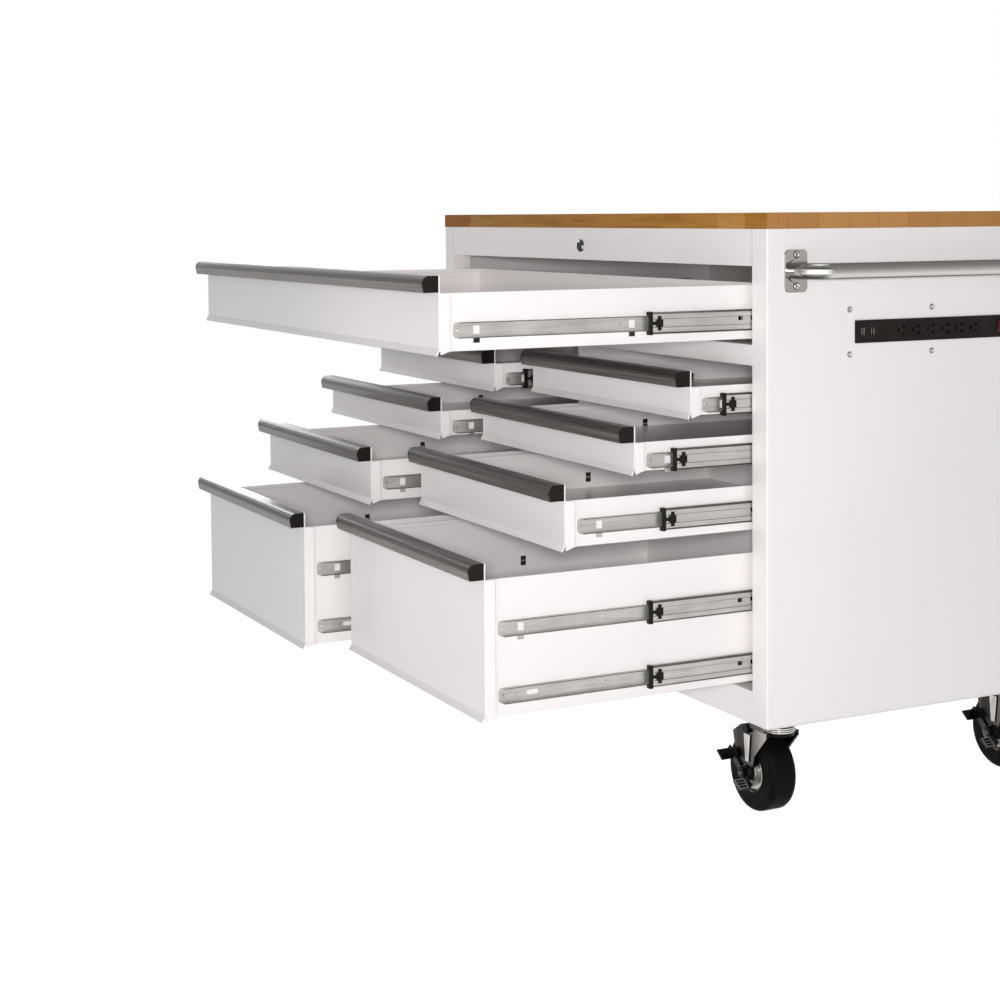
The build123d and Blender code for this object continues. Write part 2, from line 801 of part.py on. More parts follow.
def build_nodes():
    """Every node of the workbench, as a list of solids under its name."""
    nodes = {
        "worktop": [worktop()],
        "left_side_panel": [side_panel(-1)],
        "right_side_panel": [side_panel(1) - strip_opening()],
        "back_panel": [back_panel()],
        "floor_panel": [floor_panel()],
        "front_fascia": [front_fascia()],
        "mid_rail": [channel(mid_rail_z, mid_rail_z + mid_rail_height)],
        "center_divider": [center_divider()],
        "lock_barrel": [lock_barrel()],
        "lock_plug": [lock_plug()],
        "push_bar": [push_bar()],
        "power_strip": [power_strip()],
        "power_switch": [power_switch()],
        "swivel_caster_plates": [swivel_plate(caster_x, y) for y in (-caster_y, caster_y)],
        "swivel_fork_front": swivel_fork(caster_x, -caster_y),
        "swivel_fork_rear": swivel_fork(caster_x, caster_y),
        "brake_lever_front": [brake_lever(caster_x, -caster_y)],
        "brake_lever_rear": [brake_lever(caster_x, caster_y)],
        "rigid_caster_forks": rigid_fork(-caster_x, -caster_y) + rigid_fork(-caster_x, caster_y),
        "wheel_right_front": [wheel(caster_x - caster_trail, -caster_y)],
        "wheel_right_rear": [wheel(caster_x - caster_trail, caster_y)],
        "wheel_left_front": [wheel(-caster_x, -caster_y)],
        "wheel_left_rear": [wheel(-caster_x, caster_y)],
        "slide_outer_members": [outer_member(*slide) for drawer in drawers for slide in slides(drawer)],
    }
    for drawer in drawers:
        nodes[f"{drawer.name}_box"] = [drawer_box(drawer)]
        nodes[f"{drawer.name}_handle"] = drawer_handle(drawer)
        nodes[f"{drawer.name}_runners"] = [runner(drawer, *slide) for slide in slides(drawer)]
        nodes[f"{drawer.name}_carriages"] = [
            member(drawer, *slide) for slide in slides(drawer) for member in (carriage, bumper)
        ]
    return nodes


os.makedirs("parts", exist_ok=True)
for name, solids in build_nodes().items():
    export_step(Compound(children=list(solids)), f"parts/{name}.step")
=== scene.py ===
import math

import bmesh
import bpy
from mathutils import Matrix, Vector


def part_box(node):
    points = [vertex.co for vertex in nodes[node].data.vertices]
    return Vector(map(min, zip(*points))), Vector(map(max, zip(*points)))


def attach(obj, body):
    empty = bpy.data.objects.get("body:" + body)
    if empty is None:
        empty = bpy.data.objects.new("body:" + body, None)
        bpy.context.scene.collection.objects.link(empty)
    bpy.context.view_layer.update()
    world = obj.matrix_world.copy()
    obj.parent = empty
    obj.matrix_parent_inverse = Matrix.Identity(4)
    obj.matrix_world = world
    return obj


# Looks of a mobile tool workbench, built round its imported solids. Metres; X right, Y to the back, Z up.

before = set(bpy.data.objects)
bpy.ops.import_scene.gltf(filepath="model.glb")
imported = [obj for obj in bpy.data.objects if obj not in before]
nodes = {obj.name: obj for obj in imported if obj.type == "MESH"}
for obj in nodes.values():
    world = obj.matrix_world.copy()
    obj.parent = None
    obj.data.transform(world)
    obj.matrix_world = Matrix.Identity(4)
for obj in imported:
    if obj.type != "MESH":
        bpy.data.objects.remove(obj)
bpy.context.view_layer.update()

# Sizes shared with the solids
half_width = 0.5842
front_y, back_y = -0.311, 0.311
cabinet_bottom = 0.1588
slide_start = 0.0246            # from a drawer front to its runner's end
runner_reach = 0.0078
runner_height = 0.023
slide_sheet = 0.0012
upper_slide = 0.0985            # upper slide of a deep drawer above its lower one
tray_sheet = 0.001
cap_thickness = 0.003
bumper_length = 0.0063
latch_layer = 0.00085           # outer layer of a carriage, where only its latch stands
latch_end = 0.0243              # from a carriage's end to the back of its latch
flange_thickness = 0.004
bar_inset = 0.0514
outlet_recess = 0.0008
carriage_recess = 0.0007
hook_start, second_hook = 0.0315, 0.289
hook_length, hook_tab = 0.0102, 0.0085
axle_z = 0.0635
fork_reach = 0.031              # from a wheel's middle to its fork's outer face
lever_stack = 0.0036            # room for a brake lever on the axle
nut_height = 0.007
tyre_inner = 0.0335
rib_bottom, rib_top = 0.0805, 0.1260    # a fork's ribs lie between these heights
fork_sheet = 0.004
caster_plate = 0.005
bolt_spacing = (0.062, 0.074)
caster_inset = (0.055, 0.060)
caster_trail = 0.045
swivel_axle_x = half_width - caster_inset[0] - caster_trail
crown_top = 0.137
race_low = 0.1475               # gap of the swivel bearing
race_radius = 0.024
lever_angle = math.radians(38)
lip_height = 0.010
fascia_half = 0.5442
fascia_gap = 0.0008
edge_round = 0.0015             # soft look of folded edges
close = 0.0004                  # faces nearer than this lie in one plane
just_inside, just_beyond = 0.999, 1.02

drawer_names = ["drawer_top"]
drawer_names += [f"drawer_{side}_{row}" for side in ("left", "right") for row in (1, 2, 3, 4)]
deep_drawers = ("drawer_left_4", "drawer_right_4")
wheel_names = [f"wheel_{side}_{end}" for side in ("left", "right") for end in ("front", "rear")]


# Materials


def linear(code):
    """A colour written as hex, as linear light."""
    channels = [int(code[i:i + 2], 16) / 255 for i in (1, 3, 5)]
    return [c / 12.92 if c <= 0.04045 else ((c + 0.055) / 1.055) ** 2.4 for c in channels] + [1.0]


class Finish:
    """A material and its node graph; coordinates are the part's own, in metres."""

    def __init__(self, name, metallic=0.0, **sockets):
        self.material = bpy.data.materials.new(name)
        self.material.use_nodes = True
        self.tree = self.material.node_tree
        self.shader = self.tree.nodes["Principled BSDF"]
        self.shader.inputs["Metallic"].default_value = metallic
        for socket, value in sockets.items():
            self.shader.inputs[socket.replace("_", " ")].default_value = value
        self.place = self.add("ShaderNodeTexCoord").outputs["Object"]
        self.normal = None

    def add(self, kind, inputs=None, **settings):
        node = self.tree.nodes.new(kind)
        for key, value in settings.items():
            setattr(node, key, value)
        for key, value in (inputs or {}).items():
            if isinstance(value, bpy.types.NodeSocket):
                self.tree.links.new(value, node.inputs[key])
            else:
                node.inputs[key].default_value = value
        return node

    def math(self, operation, first, second=0.0):
        return self.add("ShaderNodeMath", {0: first, 1: second}, operation=operation).outputs[0]

    def stretched(self, scale, place=None):
        node = self.add("ShaderNodeVectorMath", {0: place or self.place, 1: scale}, operation="MULTIPLY")
        return node.outputs[0]

    def noise(self, scale, detail=2.0, stretch=(1, 1, 1), place=None, distortion=0.0):
        node = self.add("ShaderNodeTexNoise", {
            "Vector": self.stretched(stretch, place), "Scale": scale, "Detail": detail,
            "Distortion": distortion,
        })
        return node.outputs["Fac"]

    def spread(self, value, low, high, source=(0.3, 0.7)):
        node = self.add("ShaderNodeMapRange", {
            "Value": value, "From Min": source[0], "From Max": source[1], "To Min": low, "To Max": high,
        })
        return node.outputs[0]

    def ramp(self, value, stops, interpolation="LINEAR"):
        node = self.add("ShaderNodeValToRGB", {"Fac": value})
        ramp = node.color_ramp
        ramp.interpolation = interpolation
        while len(ramp.elements) < len(stops):
            ramp.elements.new(1.0)
        for element, (position, code) in zip(ramp.elements, stops):
            element.position = position
            element.color = linear(code)
        return node.outputs["Color"]

    def mix(self, factor, first, second, blend="MIX"):
        node = self.add(
            "ShaderNodeMix", {0: factor, 6: first, 7: second}, data_type="RGBA", blend_type=blend)
        return node.outputs[2]

    def axes(self, vector=None):
        """X, Y and Z of a vector, by default of the place."""
        return self.add("ShaderNodeSeparateXYZ", {0: vector or self.place}).outputs

    def facing(self):
        """X, Y and Z of the surface's direction."""
        return self.axes(self.tree.nodes["Texture Coordinate"].outputs["Normal"])

    def set(self, socket, value):
        self.tree.links.new(value, self.shader.inputs[socket])

    def bump(self, height, strength, distance):
        inputs = {"Height": height, "Strength": strength, "Distance": distance}
        if self.normal:
            inputs["Normal"] = self.normal
        self.normal = self.add("ShaderNodeBump", inputs).outputs["Normal"]
        self.set("Normal", self.normal)


def white_paint(name, dark="#F5F0EF", light="#F9F4F3", joint=None):
    """Powder coat: slightly uneven white with fine orange peel; a joint may show beside the middle, as a
    grey line of painted shade.
    """
    finish = Finish(name, Coat_Weight=0.3, Coat_Roughness=0.08)
    color = finish.ramp(finish.noise(3, 3), ((0.3, dark), (0.7, light)))
    if joint:
        # Beyond the joint, a grey line of painted shade stands for the seam
        beyond = finish.math("GREATER_THAN", finish.math("ABSOLUTE", finish.axes()["X"]), joint)
        color = finish.mix(beyond, color, linear("#8A8684"))
    finish.set("Base Color", color)
    finish.set("Roughness", finish.spread(finish.noise(12, 2), 0.32, 0.38))
    finish.normal = finish.add("ShaderNodeBevel", {"Radius": edge_round}, samples=4).outputs[0]
    finish.bump(finish.noise(900, 2), strength=0.02, distance=0.0002)
    return finish.material


def butcher_block():
    """Glued staves along X: every length has its own tone and grain; end grain on the short sides."""
    stave_width, first_width, block_length, most_shift = 0.0575, 0.0384, 0.46, 7.0
    finish = Finish("butcher_block", Specular_IOR_Level=0.03)
    axes = finish.axes()
    across = finish.math("ADD", axes["Y"], -front_y - first_width)
    row = finish.math("FLOOR", finish.math("DIVIDE", across, stave_width))
    shift = finish.add("ShaderNodeTexWhiteNoise", {"W": row}, noise_dimensions="1D").outputs["Value"]
    shift = finish.math("MULTIPLY", shift, most_shift)
    along = finish.math("ADD", finish.math("DIVIDE", axes["X"], block_length), shift)
    block = finish.math("FLOOR", along)
    spot = finish.add("ShaderNodeCombineXYZ", {0: row, 1: block}).outputs[0]
    tone = finish.add("ShaderNodeTexWhiteNoise", {"Vector": spot}, noise_dimensions="2D").outputs["Value"]
    # Lengths of the front stave, from the left end
    front_place = finish.math("ADD", finish.math("DIVIDE", axes["X"], 2 * half_width), 0.5)
    front_tone = finish.ramp(front_place, (
        (0.0, "#000000"), (0.104, "#9A9A9A"), (0.879, "#C8C8C8"), (0.949, "#808080"),
    ), "CONSTANT")
    in_front = finish.math("LESS_THAN", row, -0.5)
    tone = finish.mix(in_front, finish.spread(tone, 0.2, 1.0, (0.0, 1.0)), front_tone)
    color = finish.ramp(tone, (
        (0.0, "#A6661B"), (0.2, "#B37D38"), (0.4, "#BF8A43"),
        (0.6, "#C6934D"), (0.8, "#B9843F"), (1.0, "#CB9A55"),
    ))
    # Every length starts at another place in the grain
    jump = finish.stretched((0.37, 0.61, 0.23), spot)
    grain_place = finish.add(
        "ShaderNodeVectorMath", {0: finish.place, 1: jump}, operation="ADD").outputs[0]
    grain = finish.noise(55, 6, (0.10, 1.6, 1.6), grain_place, 0.6)
    pores = finish.noise(260, 3, (0.06, 1, 1), grain_place)
    rings = finish.add("ShaderNodeTexWave", {
        "Vector": finish.stretched((0, 1.0, 1.7), grain_place), "Scale": 34.0, "Distortion": 5.0,
        "Detail": 2.0,
    }, wave_type="RINGS", rings_direction="X").outputs["Fac"]
    on_end = finish.math("GREATER_THAN", finish.math("ABSOLUTE", finish.facing()["X"]), 0.7)
    streaks = finish.ramp(grain, ((0.3, "#C9B79E"), (0.55, "#FFFFFF"), (0.75, "#E6D6BF")))
    ends = finish.ramp(rings, ((0.0, "#EAD6C2"), (0.5, "#FFFFFF"), (1.0, "#E2CBB2")))
    color = finish.mix(0.75, color, finish.mix(on_end, streaks, ends), "MULTIPLY")
    color = finish.mix(finish.math("MULTIPLY", on_end, 0.35), color, linear("#CB9C74"))
    color = finish.mix(finish.spread(pores, 0.22, 0.0, (0.25, 0.45)), color, linear("#5B371A"))
    # Dark hairline at every glue joint
    edge = finish.math("ABSOLUTE", finish.math("SUBTRACT", finish.math("FRACT", finish.math(
        "DIVIDE", across, stave_width)), 0.5))
    end = finish.math("ABSOLUTE", finish.math("SUBTRACT", finish.math("FRACT", along), 0.5))
    joint = finish.math("MAXIMUM", finish.spread(edge, 0.0, 0.5, (0.485, 0.5)), finish.math(
        "MULTIPLY", finish.spread(end, 0.0, 0.4, (0.4985, 0.5)), finish.math("SUBTRACT", 1.0, in_front)))
    finish.set("Base Color", finish.mix(joint, color, linear("#4A2A12")))
    finish.set("Roughness", finish.spread(grain, 0.34, 0.5))
    finish.bump(grain, strength=0.08, distance=0.0006)
    return finish.material


def grip_metal():
    """Dark anodised extrusion, brushed and finely ribbed along its length, with a painted reflection that
    makes it palest above and below.
    """
    finish = Finish("anodised_grip", metallic=0.85)
    brushed = finish.noise(240, 4, (0.02, 1, 1))
    # Painted reflection by the surface's direction: paler above and below, darker between
    grip_reflection_bands = finish.ramp(finish.spread(finish.facing()["Z"], 0.0, 1.0, (-0.4, 1.0)), (
        (0.0, "#96928F"), (0.2, "#7A7673"), (0.36, "#55514E"),
        (0.6, "#4A4643"), (0.8, "#6A6663"), (1.0, "#7C7875"),
    ))
    fine = finish.ramp(brushed, ((0.3, "#B5B2B0"), (0.5, "#DAD8D6"), (0.72, "#FFFFFF")))
    finish.set("Base Color", finish.mix(1.0, grip_reflection_bands, fine, "MULTIPLY"))
    finish.set("Roughness", finish.spread(brushed, 0.30, 0.42))
    ribs = finish.add("ShaderNodeTexWave", {
        "Vector": finish.stretched((0, 1, 1)), "Scale": 100.0, "Distortion": 0.3,
    }, bands_direction="Z").outputs["Fac"]
    finish.bump(ribs, strength=0.6, distance=0.0005)
    finish.bump(brushed, strength=0.1, distance=0.0002)
    return finish.material


def plated(name, dark, light, low, high, stretch=(1, 0.04, 1), scale=300.0, metallic=1.0):
    """Plated steel with rolling marks along one axis and a faint bloom."""
    finish = Finish(name, metallic=metallic)
    marks = finish.noise(scale, 4, stretch)
    bloom = finish.noise(24, 3)
    tone = finish.math("ADD", finish.math("MULTIPLY", marks, 0.6), finish.math("MULTIPLY", bloom, 0.4))
    finish.set("Base Color", finish.ramp(tone, ((0.35, dark), (0.65, light))))
    finish.set("Roughness", finish.spread(bloom, low, high))
    finish.bump(marks, strength=0.05, distance=0.0002)
    return finish.material


def moulded(name, dark, light, low, high, scale=500.0, strength=0.12, sheen=0.25):
    """Moulded plastic or rubber with a fine grain."""
    finish = Finish(name, Specular_IOR_Level=sheen)
    finish.set("Base Color", finish.ramp(finish.noise(30, 3), ((0.3, dark), (0.7, light))))
    finish.set("Roughness", finish.spread(finish.noise(90, 3), low, high))
    finish.bump(finish.noise(scale, 2), strength, distance=0.0003)
    return finish.material


def chrome_painted_reflection():
    """Small polished rim with a painted reflection: dark, with one bright painted highlight streak across
    it.
    """
    finish = Finish("chrome_painted_reflection", metallic=1.0)
    low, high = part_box("lock_barrel")
    rim_radius, slant = 0.011, (0.6, 0.8)
    axes = finish.axes()
    over = finish.math("SUBTRACT", axes["Z"], (low.z + high.z) / 2)
    aside = finish.math("MULTIPLY", axes["X"], slant[0])
    slanted = finish.math("ADD", finish.math("MULTIPLY", over, slant[1]), aside)
    # Painted reflection: dark rim with a bright painted highlight along a slanted line through its middle
    finish.set("Base Color", finish.ramp(finish.spread(slanted, 0.0, 1.0, (-rim_radius, rim_radius)), (
        (0.0, "#3B3835"), (0.28, "#24211F"), (0.5, "#3F3C39"), (0.62, "#E6E3E0"),
        (0.74, "#F4F2EF"), (0.8, "#5A5754"), (1.0, "#2B2826"),
    )))
    finish.set("Roughness", finish.spread(finish.noise(200, 2), 0.1, 0.18))
    finish.bump(finish.noise(60, 2), strength=0.02, distance=0.0004)
    return finish.material


def fork_steel():
    """Pressed steel with a painted reflection of the dark tyre: dark in the middle of a leg and paler
    towards its edges.
    """
    finish = Finish("fork_steel", metallic=1.0)
    leg_start, leg_end = -0.034, 0.060      # along X from the axle
    along = finish.math("SUBTRACT", finish.axes()["X"], swivel_axle_x)
    along = finish.math("ADD", along, finish.math("MULTIPLY", finish.noise(60, 3, (1, 1, 0.3)), 0.012))
    # Painted reflection along X across the leg
    finish.set("Base Color", finish.ramp(finish.spread(along, 0.0, 1.0, (leg_start, leg_end)), (
        (0.0, "#A5A19E"), (0.06, "#4A4643"), (0.2, "#2E2B29"), (0.45, "#393633"),
        (0.62, "#5E5A57"), (0.8, "#8A8683"), (1.0, "#A9A6A2"),
    )))
    finish.set("Roughness", finish.spread(finish.noise(90, 3), 0.18, 0.3))
    finish.bump(finish.noise(120, 3), strength=0.04, distance=0.0003)
    return finish.material


def bright_chrome():
    """Polished chrome with painted reflections: darker bands above and below, stronger in the bends,
    where a bright painted highlight lies between them; and a faint bloom.
    """
    finish = Finish("bright_chrome", metallic=1.0)
    axes = finish.facing()
    height = finish.math("ADD", axes["Z"], finish.math("MULTIPLY", finish.noise(16, 3), 0.12))
    height = finish.spread(height, 0.0, 1.0, (-1.0, 1.1))
    # Painted reflections by the surface's direction: bands on the straight tube, and stronger bands round
    # a painted highlight in the bends
    along = finish.ramp(height, (
        (0.0, "#D8D5D1"), (0.07, "#35322F"), (0.14, "#B9B6B2"), (0.3, "#C9C6C2"), (0.48, "#A5A29E"),
        (0.68, "#7B7875"), (0.86, "#6A6764"), (0.95, "#3B3835"), (1.0, "#B4B1AD"),
    ))
    bent = finish.ramp(height, (
        (0.0, "#8F8C88"), (0.12, "#35322F"), (0.3, "#7B7875"), (0.42, "#F4F2EF"), (0.58, "#FFFFFF"),
        (0.66, "#3B3835"), (0.84, "#8A8783"), (1.0, "#45423F"),
    ))
    turned = finish.math("ABSOLUTE", axes["Y"])
    in_bend = finish.math("MINIMUM", finish.spread(turned, 0.0, 1.0, (0.1, 0.35)), finish.spread(
        turned, 1.0, 0.0, (0.8, 0.95)))
    finish.set("Base Color", finish.mix(in_bend, along, bent))
    finish.set("Roughness", finish.spread(finish.noise(120, 2), 0.08, 0.14))
    finish.bump(finish.noise(60, 2), strength=0.02, distance=0.0004)
    return finish.material


white = white_paint("white_powder_coat")
# Greyer white: painted shade on the flared lips of the drawer fronts, which face the light
lip_shaded_white = white_paint("white_lip", "#E9E4E3", "#EDE8E7")
fascia_white = white_paint("white_fascia", joint=fascia_half - fascia_gap)
wood = butcher_block()
grip = grip_metal()
slide_zinc = plated("slide_zinc", "#ACA9A5", "#C4C1BD", 0.34, 0.44, metallic=0.75)
caster_zinc = plated("caster_zinc", "#85827F", "#C0BDBA", 0.16, 0.28, (1, 1, 0.3), 90.0)
lever_black = plated("lever_black", "#2F2C2A", "#4A4744", 0.34, 0.5)
lever_edge = plated("lever_edge", "#A5A19D", "#CFCCC8", 0.3, 0.42, metallic=0.6)
fork_metal = fork_steel()
# Paler steel: a painted highlight on the ribs of the swivel forks
fork_rib_highlight = plated("fork_rib_highlight", "#A39F9C", "#D3D0CC", 0.2, 0.3, (1, 1, 0.1), 200.0)
fork_shade = plated("fork_shade", "#161311", "#221F1D", 0.3, 0.45)
race_steel = plated("race_steel", "#BEBBB7", "#F1EFEC", 0.12, 0.2, (1, 1, 0.1), 60.0)
bolt_dark = plated("bolt_dark", "#34312E", "#5B5754", 0.25, 0.4, (1, 1, 1), 400.0)
slide_shade = plated("slide_shade", "#55524F", "#6E6B68", 0.35, 0.5, metallic=0.7)
screw_steel = plated("screw_steel", "#8F8B87", "#C9C6C2", 0.2, 0.34, (1, 1, 1), 400.0)
plug_steel = plated("plug_steel", "#1F1C1A", "#3A3735", 0.22, 0.34, (1, 1, 1), 400.0)
chrome = bright_chrome()
lock_chrome = chrome_painted_reflection()
black_plastic = moulded("black_plastic", "#15110F", "#1E1A17", 0.38, 0.52, sheen=0.12)
dark_hollow = moulded("dark_hollow", "#080706", "#0E0C0B", 0.6, 0.75, sheen=0.04)
cut_shade = moulded("cut_shade", "#2A2624", "#3A3634", 0.5, 0.65, sheen=0.1)
strip_black = moulded("strip_black", "#1D1917", "#262220", 0.4, 0.55, sheen=0.08)
rocker_red = moulded("rocker_red", "#3A0C0B", "#4A100E", 0.2, 0.3)
rubber = moulded("tyre_rubber", "#0A0807", "#110E0C", 0.5, 0.65, 300.0, 0.2, 0.05)


def dress(node, *materials):
    """Gives a solid its materials."""
    data = nodes[node].data
    data.materials.clear()
    for material in materials:
        data.materials.append(material)
    for face in data.polygons:
        face.material_index = 0


def paint_faces(node, index, chosen):
    """Sets a material number on the faces that are chosen by centre and normal."""
    for face in nodes[node].data.polygons:
        if chosen(face.center, face.normal):
            face.material_index = index


def on_fork_rib(c, middle_y):
    """Ribs pressed out of the legs of a fork."""
    return abs(c.y - middle_y) > fork_reach + close and rib_bottom < c.z < rib_top


def in_fork_shade(c, n, middle_y):
    """Bosses and bolts, the sides towards the wheel, the right edges of the legs, and the race."""
    room = 0.0005
    out = abs(c.y - middle_y)
    from_kingpin = math.hypot(c.x - half_width + caster_inset[0], c.y - middle_y)
    return (
        out > fork_reach + close and not rib_bottom < c.z < rib_top
        or out < fork_reach - fork_sheet + room and c.z < crown_top - close
        or out > fork_reach - fork_sheet - room and abs(n.y) < 0.5 and n.x > 0.2
        or abs(from_kingpin - race_radius) < 2 * room
    )


white_nodes = (
    "left_side_panel", "right_side_panel", "back_panel", "floor_panel", "mid_rail", "center_divider",
)
for name in white_nodes:
    dress(name, white)
dress("front_fascia", fascia_white)
dress("worktop", wood)
dress("slide_outer_members", slide_zinc)
dress("push_bar", chrome)
dress("lock_barrel", lock_chrome)
dress("lock_plug", plug_steel)
dress("power_strip", strip_black)
dress("power_switch", rocker_red)
for name in ("rigid_caster_forks", "swivel_caster_plates"):
    dress(name, caster_zinc)
for end, side in (("front", -1), ("rear", 1)):
    middle_y = side * (back_y - caster_inset[1])
    dress(f"brake_lever_{end}", lever_black)
    dress(f"swivel_fork_{end}", fork_metal, fork_rib_highlight, fork_shade)
    # Ribs get a paler painted highlight, and the faces that in_fork_shade picks get painted shade
    paint_faces(f"swivel_fork_{end}", 1, lambda c, n: on_fork_rib(c, middle_y))
    paint_faces(f"swivel_fork_{end}", 2, lambda c, n: in_fork_shade(c, n, middle_y))
for name in wheel_names:
    dress(name, rubber, caster_zinc)
    low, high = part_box(name)
    middle = (low + high) / 2
    paint_faces(name, 1, lambda c, n: math.hypot(c.x - middle.x, c.z - middle.z) < tyre_inner)
for name in drawer_names:
    dress(f"{name}_box", white, lip_shaded_white)
    low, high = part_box(f"{name}_box")
    # The flared lip at the foot of each front, facing forward and up, gets the white with painted shade
    paint_faces(f"{name}_box", 1, lambda c, n: c.z < low.z + lip_height and n.y < -0.5 and n.z > 0.2)
    dress(f"{name}_runners", slide_zinc, slide_shade)
    low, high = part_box(f"{name}_runners")
    paint_faces(f"{name}_runners", 1, lambda c, n: (
        abs(n.x) > 0.9 and min(c.x - low.x, high.x - c.x) < close))
    dress(f"{name}_handle", grip, black_plastic)
    low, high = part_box(f"{name}_handle")
    paint_faces(f"{name}_handle", 1, lambda c, n: (
        min(c.x - low.x, high.x - c.x) < cap_thickness * just_inside))
    dress(f"{name}_carriages", slide_zinc, black_plastic, slide_shade)
    paint_faces(f"{name}_carriages", 2, lambda c, n: 0.3 < abs(n.z) < 0.9)
    low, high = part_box(f"{name}_carriages")
    paint_faces(f"{name}_carriages", 1, lambda c, n: c.y - low.y < bumper_length * just_inside)
    paint_faces(f"{name}_carriages", 1, lambda c, n: (
        c.y - low.y < latch_end * just_beyond and min(c.x - low.x, high.x - c.x) < latch_layer))


# Pieces


rightward, leftward, backward = (1, 0, 0), (-1, 0, 0), (0, 1, 0)
upward, downward = (0, 0, 1), (0, 0, -1)


def placed(point, out, up=upward):
    """Local Z points out of a surface and local Y up along it."""
    out, up = Vector(out), Vector(up)
    side = up.cross(out)
    return Matrix((
        (side.x, up.x, out.x, point[0]), (side.y, up.y, out.y, point[1]), (side.z, up.z, out.z, point[2]),
        (0, 0, 0, 1),
    ))


class Piece:
    """Mesh that is put together from turned, bevelled and pocketed forms."""

    def __init__(self, name, body, slot, *materials):
        self.name, self.body, self.slot, self.materials = name, body, slot, materials
        self.mesh = bmesh.new()

    def turned(self, matrix, profile, segments=24, material=0):
        """Profile of (radius, height) points turned about local Z."""
        rings = []
        for radius, height in profile:
            if radius == 0:
                rings.append([self.mesh.verts.new(matrix @ Vector((0, 0, height)))])
                continue
            ring = []
            for i in range(segments):
                angle = 2 * math.pi * i / segments
                ring.append(self.mesh.verts.new(
                    matrix @ Vector((radius * math.cos(angle), radius * math.sin(angle), height))))
            rings.append(ring)
        for lower, upper in zip(rings, rings[1:]):
            for i in range(segments):
                corners = [lower[i % len(lower)], lower[(i + 1) % len(lower)],
                           upper[(i + 1) % len(upper)], upper[i % len(upper)]]
                face = self.mesh.faces.new(list(dict.fromkeys(corners)))
                face.material_index = material
                face.smooth = True
        return rings

    def screw(self, matrix, radius, height):
        """Pan head with a cross recess pressed into it."""
        dome_rings, rim, dome_start = 9, 0.35, 0.96
        arm, reach, depth = 0.208 * radius, 0.62 * radius, 0.7 * height
        profile = [(radius, 0.0), (radius, rim * height)]
        for i in range(dome_rings):
            share = dome_start * (1 - i / dome_rings)
            profile.append((radius * share, height * (rim + (1 - rim) * math.sqrt(1 - share ** 2))))
        profile.append((0, height))
        inverse = matrix.inverted()
        for ring in self.turned(matrix, profile):
            for vert in ring:
                local = inverse @ vert.co
                near, far = min(abs(local.x), abs(local.y)), local.xy.length
                if far < reach and near < arm:
                    local.z -= depth * (1 - (near / arm) ** 4) * math.sqrt(1 - far / reach)
                    vert.co = matrix @ local

    def ringed_screw(self, matrix, radius, height, ring, segments):
        """Screw on a flat ring of the second material, given by its outer and inner radius."""
        outer, inner = ring
        thickness, chamfer = 0.0003, 0.0002
        self.turned(matrix, [(outer, 0.0), (outer - chamfer, thickness), (inner, thickness)], segments, 1)
        self.screw(matrix, radius, height)

    def slab(self, matrix, size, bevel, material=0, segments=2):
        """Block with rounded edges, resting on local Z = 0."""
        made = bmesh.ops.create_cube(self.mesh, size=1.0)["verts"]
        shape = Matrix.Translation((0, 0, size[2] / 2)) @ Matrix.Diagonal((*size, 1))
        bmesh.ops.transform(self.mesh, matrix=matrix @ shape, verts=made)
        edges = list(dict.fromkeys(edge for vert in made for edge in vert.link_edges))
        for vert in made:
            for face in vert.link_faces:
                face.material_index = material
        bmesh.ops.bevel(
            self.mesh, geom=edges, offset=bevel, segments=segments, profile=0.5, affect="EDGES")

    def pocketed(self, matrix, width, height, thickness, pockets, depth, material=0, inside=1):
        """Plate with rectangular pockets (x0, x1, y0, y1) sunk into its face."""
        xs = sorted({-width / 2, width / 2, *(v for p in pockets for v in p[:2])})
        ys = sorted({-height / 2, height / 2, *(v for p in pockets for v in p[2:])})

        def sunk(i, j):
            if not (0 <= i < len(xs) - 1 and 0 <= j < len(ys) - 1):
                return None
            x, y = (xs[i] + xs[i + 1]) / 2, (ys[j] + ys[j + 1]) / 2
            return any(p[0] < x < p[1] and p[2] < y < p[3] for p in pockets)

        def face(points, number):
            made = self.mesh.faces.new([self.mesh.verts.new(matrix @ Vector(p)) for p in points])
            made.material_index = number

        for i in range(len(xs) - 1):
            for j in range(len(ys) - 1):
                down = sunk(i, j)
                z = thickness - depth if down else thickness
                corners = [(xs[i], ys[j]), (xs[i + 1], ys[j]), (xs[i + 1], ys[j + 1]), (xs[i], ys[j + 1])]
                face([(x, y, z) for x, y in corners], inside if down else material)
                for k, (di, dj) in enumerate(((0, -1), (1, 0), (0, 1), (-1, 0))):
                    a, b = corners[k], corners[(k + 1) % 4]
                    beside = sunk(i + di, j + dj)
                    if beside is None:
                        face([(*a, 0), (*b, 0), (*b, z), (*a, z)], material)
                    elif down and not beside:
                        face([(*b, z), (*a, z), (*a, thickness), (*b, thickness)], inside)

    def done(self):
        """Makes the object and puts it on its body."""
        same_point = 0.000002
        bmesh.ops.remove_doubles(self.mesh, verts=self.mesh.verts, dist=same_point)
        bmesh.ops.recalc_face_normals(self.mesh, faces=self.mesh.faces)
        data = bpy.data.meshes.new(self.name)
        self.mesh.to_mesh(data)
        self.mesh.free()
        for material in self.materials:
            data.materials.append(material)
        made = bpy.data.objects.new(self.name, data)
        bpy.context.scene.collection.objects.link(made)
        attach(made, self.body)


def slide_heights(drawer, first):
    """Middles of a drawer's slides on one side, from the top one down."""
    return [first, first - upper_slide] if drawer in deep_drawers else [first]


